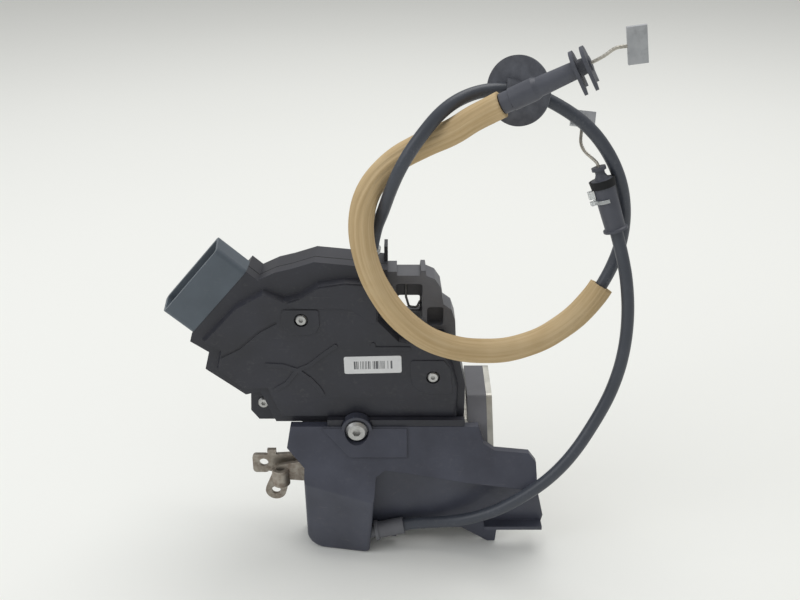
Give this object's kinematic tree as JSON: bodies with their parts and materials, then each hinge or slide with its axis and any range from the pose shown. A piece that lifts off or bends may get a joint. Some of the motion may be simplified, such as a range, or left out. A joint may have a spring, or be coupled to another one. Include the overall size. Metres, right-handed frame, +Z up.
{
  "type": "door latch actuator",
  "caption": "Vehicle door latch: moulded actuator casing with connector and hooded lower cover, steel latch plate with claw and pawl, release levers and two release cables.",
  "frame": {"origin": "middle of the bottom of the latch without its free cables, on the plane of the foot, the cover's nose and the frame's flange", "axes": "+X to the right towards the latch plate, +Y to the rear where the striker enters, +Z up; the moulded face and the label look along -Y"},
  "size_m": [0.2276, 0.0733, 0.2676],
  "materials": {
    "casing_plastic": "satin, fine grain",
    "cover_plastic": "satin",
    "case_plastic": "satin",
    "connector_plastic": "satin",
    "seal_rubber": "matt",
    "terminal_brass": "tinned, bright",
    "motor_steel": "zinc plated",
    "motor_plastic": "satin",
    "pin_steel": "zinc plated",
    "gear_plastic": "natural acetal",
    "screw_steel": "dark zinc plated",
    "label_film": "matt film",
    "plate_steel": "zinc plated",
    "lever_steel": "zinc plated, slightly tarnished",
    "claw_steel": "ground",
    "claw_plastic": "satin",
    "spring_steel": "oiled",
    "conduit_plastic": "satin",
    "foam": "closed-cell foam, matt",
    "grommet_rubber": "matt",
    "ferrule_plastic": "satin",
    "clear_plastic": "translucent moulding",
    "rope_steel": "coated steel rope",
    "nipple_zinc": "die-cast zinc"
  },
  "bodies": {
    "housing": {"front_casing": "casing_plastic", "rear_casing": "casing_plastic", "casing_gasket": "seal_rubber", "connector_shroud": "connector_plastic", "connector_terminals": "terminal_brass", "motor_can": "motor_steel", "motor_cap": "motor_plastic", "wheel_pin": "pin_steel", "lead_frame": "terminal_brass", "microswitches": "motor_plastic", "lower_cover": "cover_plastic", "cover_screw": "screw_steel", "casing_screws": "screw_steel", "label": "label_film", "face_plate": "plate_steel", "mechanism_case": "case_plastic", "striker_bumper": "seal_rubber", "latch_frame": "plate_steel", "claw_pin": "pin_steel", "pawl_pin": "pin_steel", "claw_spring": "spring_steel", "pawl_spring": "spring_steel", "lever_spacer": "pin_steel", "lever_rivet": "pin_steel", "handle_stud": "pin_steel", "release_stud": "pin_steel", "cable_bracket": "case_plastic", "window_spring": "spring_steel", "conduit_a": "conduit_plastic", "conduit_b": "conduit_plastic", "foam_sleeve": "foam", "grommet_disc": "grommet_rubber", "ferrule_a": "ferrule_plastic", "ferrule_b": "ferrule_plastic", "ferrule_b_collar": "seal_rubber", "ferrule_b_clip": "clear_plastic", "entry_collar_a": "case_plastic", "entry_collar_b": "case_plastic", "clear_ring_a": "clear_plastic"},
    "claw": {"claw_core": "claw_steel", "claw_cover": "claw_plastic"},
    "pawl": {"pawl_core": "claw_steel", "pawl_cover": "claw_plastic"},
    "wheel": {"worm_wheel": "gear_plastic", "lock_lever": "lever_steel"},
    "worm_drive": {"worm": "gear_plastic", "motor_shaft": "pin_steel"},
    "outer_lever": {"outer_release_lever": "lever_steel"},
    "key_lever_body": {"key_lever": "lever_steel"},
    "handle_lever_body": {"handle_lever": "lever_steel"},
    "inner_lever": {"inner_release_lever": "lever_steel"},
    "cable_a_end": {"wire_a": "rope_steel", "nipple_a": "nipple_zinc"},
    "cable_b_end": {"wire_b": "rope_steel", "nipple_b": "nipple_zinc"}
  },
  "joints": [
    {"name": "claw_turn", "type": "hinge", "parent": "housing", "child": "claw", "pos_m": [0.0633, 0.0105, 0.052], "axis": [1, 0, 0], "range_deg": [-60, 0]},
    {"name": "pawl_turn", "type": "hinge", "parent": "housing", "child": "pawl", "pos_m": [0.0633, 0.01288, 0.0146], "axis": [1, 0, 0], "range_deg": [-4, 7]},
    {"name": "wheel_turn", "type": "hinge", "parent": "housing", "child": "wheel", "pos_m": [0.0005, 0, 0.09041], "axis": [0, 1, 0], "range_deg": [-35, 35]},
    {"name": "worm_turn", "type": "hinge", "parent": "housing", "child": "worm_drive", "pos_m": [0.0005, -0.0005, 0.107], "axis": [1, 0, 0], "range_deg": [-421, 421]},
    {"name": "outer_lever_turn", "type": "hinge", "parent": "housing", "child": "outer_lever", "pos_m": [-0.02, -0.0115, 0.042], "axis": [0, 1, 0], "range_deg": [-20, 0]},
    {"name": "key_lever_turn", "type": "hinge", "parent": "housing", "child": "key_lever_body", "pos_m": [-0.02, -0.0165, 0.042], "axis": [0, 1, 0], "range_deg": [-15, 0]},
    {"name": "handle_lever_turn", "type": "hinge", "parent": "housing", "child": "handle_lever_body", "pos_m": [0, -0.0115, 0.042], "axis": [0, 1, 0], "range_deg": [-17, 0]},
    {"name": "cable_b_pull", "type": "slide", "parent": "housing", "child": "cable_b_end", "axis": [-0.3221, 0.1347, 0.9371], "range_m": [0, 0.0082]},
    {"name": "inner_lever_turn", "type": "hinge", "parent": "housing", "child": "inner_lever", "pos_m": [0.036, 0.0145, 0.107], "axis": [0, 1, 0], "range_deg": [0, 27]},
    {"name": "cable_a_pull", "type": "slide", "parent": "housing", "child": "cable_a_end", "axis": [0.8597, -0.2114, 0.4651], "range_m": [0, 0.012]}
  ],
  "couplings": [
    {"joint": "worm_turn", "follows": "wheel_turn", "ratio": -12},
    {"joint": "cable_b_pull", "follows": "handle_lever_turn", "m_per_rad": -0.0272},
    {"joint": "cable_a_pull", "follows": "inner_lever_turn", "m_per_rad": 0.02508}
  ]
}
